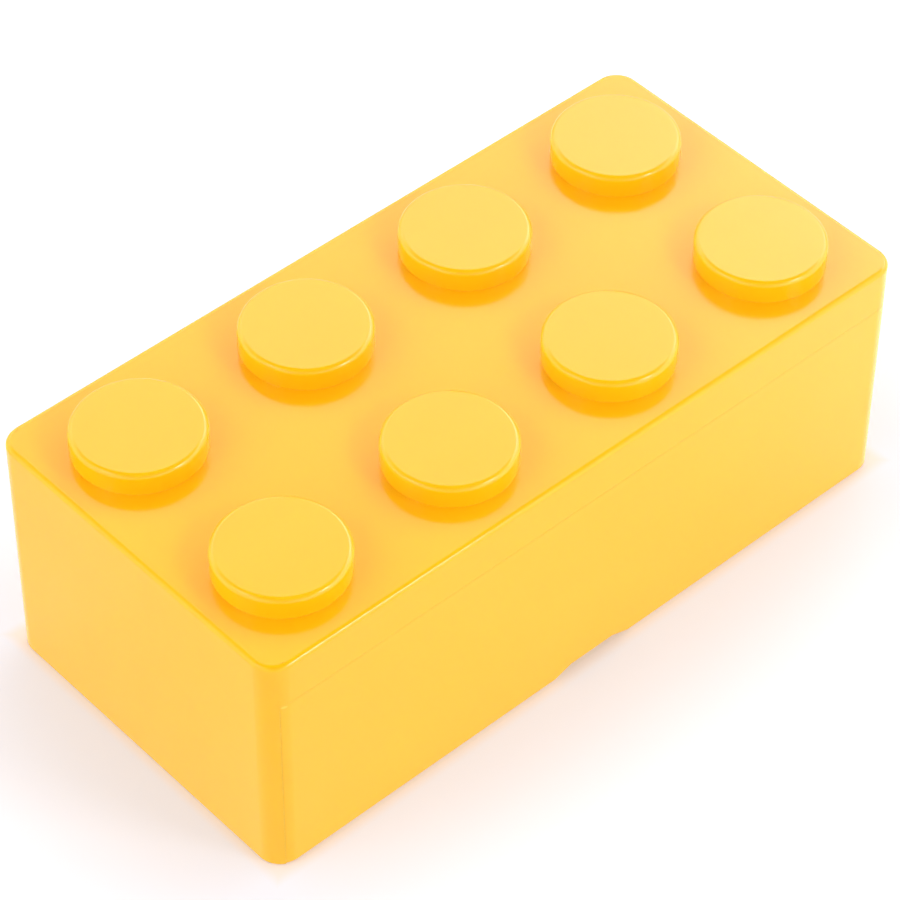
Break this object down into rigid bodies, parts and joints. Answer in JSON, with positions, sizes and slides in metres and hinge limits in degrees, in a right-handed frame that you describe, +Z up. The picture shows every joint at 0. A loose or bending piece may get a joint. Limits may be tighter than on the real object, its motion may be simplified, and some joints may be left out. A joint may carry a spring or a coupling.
{
  "type": "stackable drawer box",
  "caption": "Glossy toy-brick-shaped desk box with round studs on top, a drawer in its long side and stud sockets underneath.",
  "frame": {"origin": "middle of the ground that the box stands on", "axes": "+X along the box, +Y from the drawer front to the back, +Z up"},
  "size_m": [0.321, 0.158, 0.12],
  "materials": {
    "shell_gloss": "high gloss moulded plastic",
    "inner_satin": "satin moulded plastic",
    "screw_zinc": "zinc plated",
    "pad_soft": "soft translucent pad"
  },
  "bodies": {
    "case": {"casing": "shell_gloss", "base_plate": "inner_satin", "base_screws": "screw_zinc", "pad_front_left": "pad_soft", "pad_front_right": "pad_soft", "pad_back_left": "pad_soft", "pad_back_right": "pad_soft"},
    "drawer": {"drawer_tray": "inner_satin", "drawer_front": "shell_gloss"}
  },
  "joints": [
    {"name": "drawer_slide", "type": "slide", "parent": "case", "child": "drawer", "axis": [0, -1, 0], "range_m": [0, 0.11]}
  ]
}
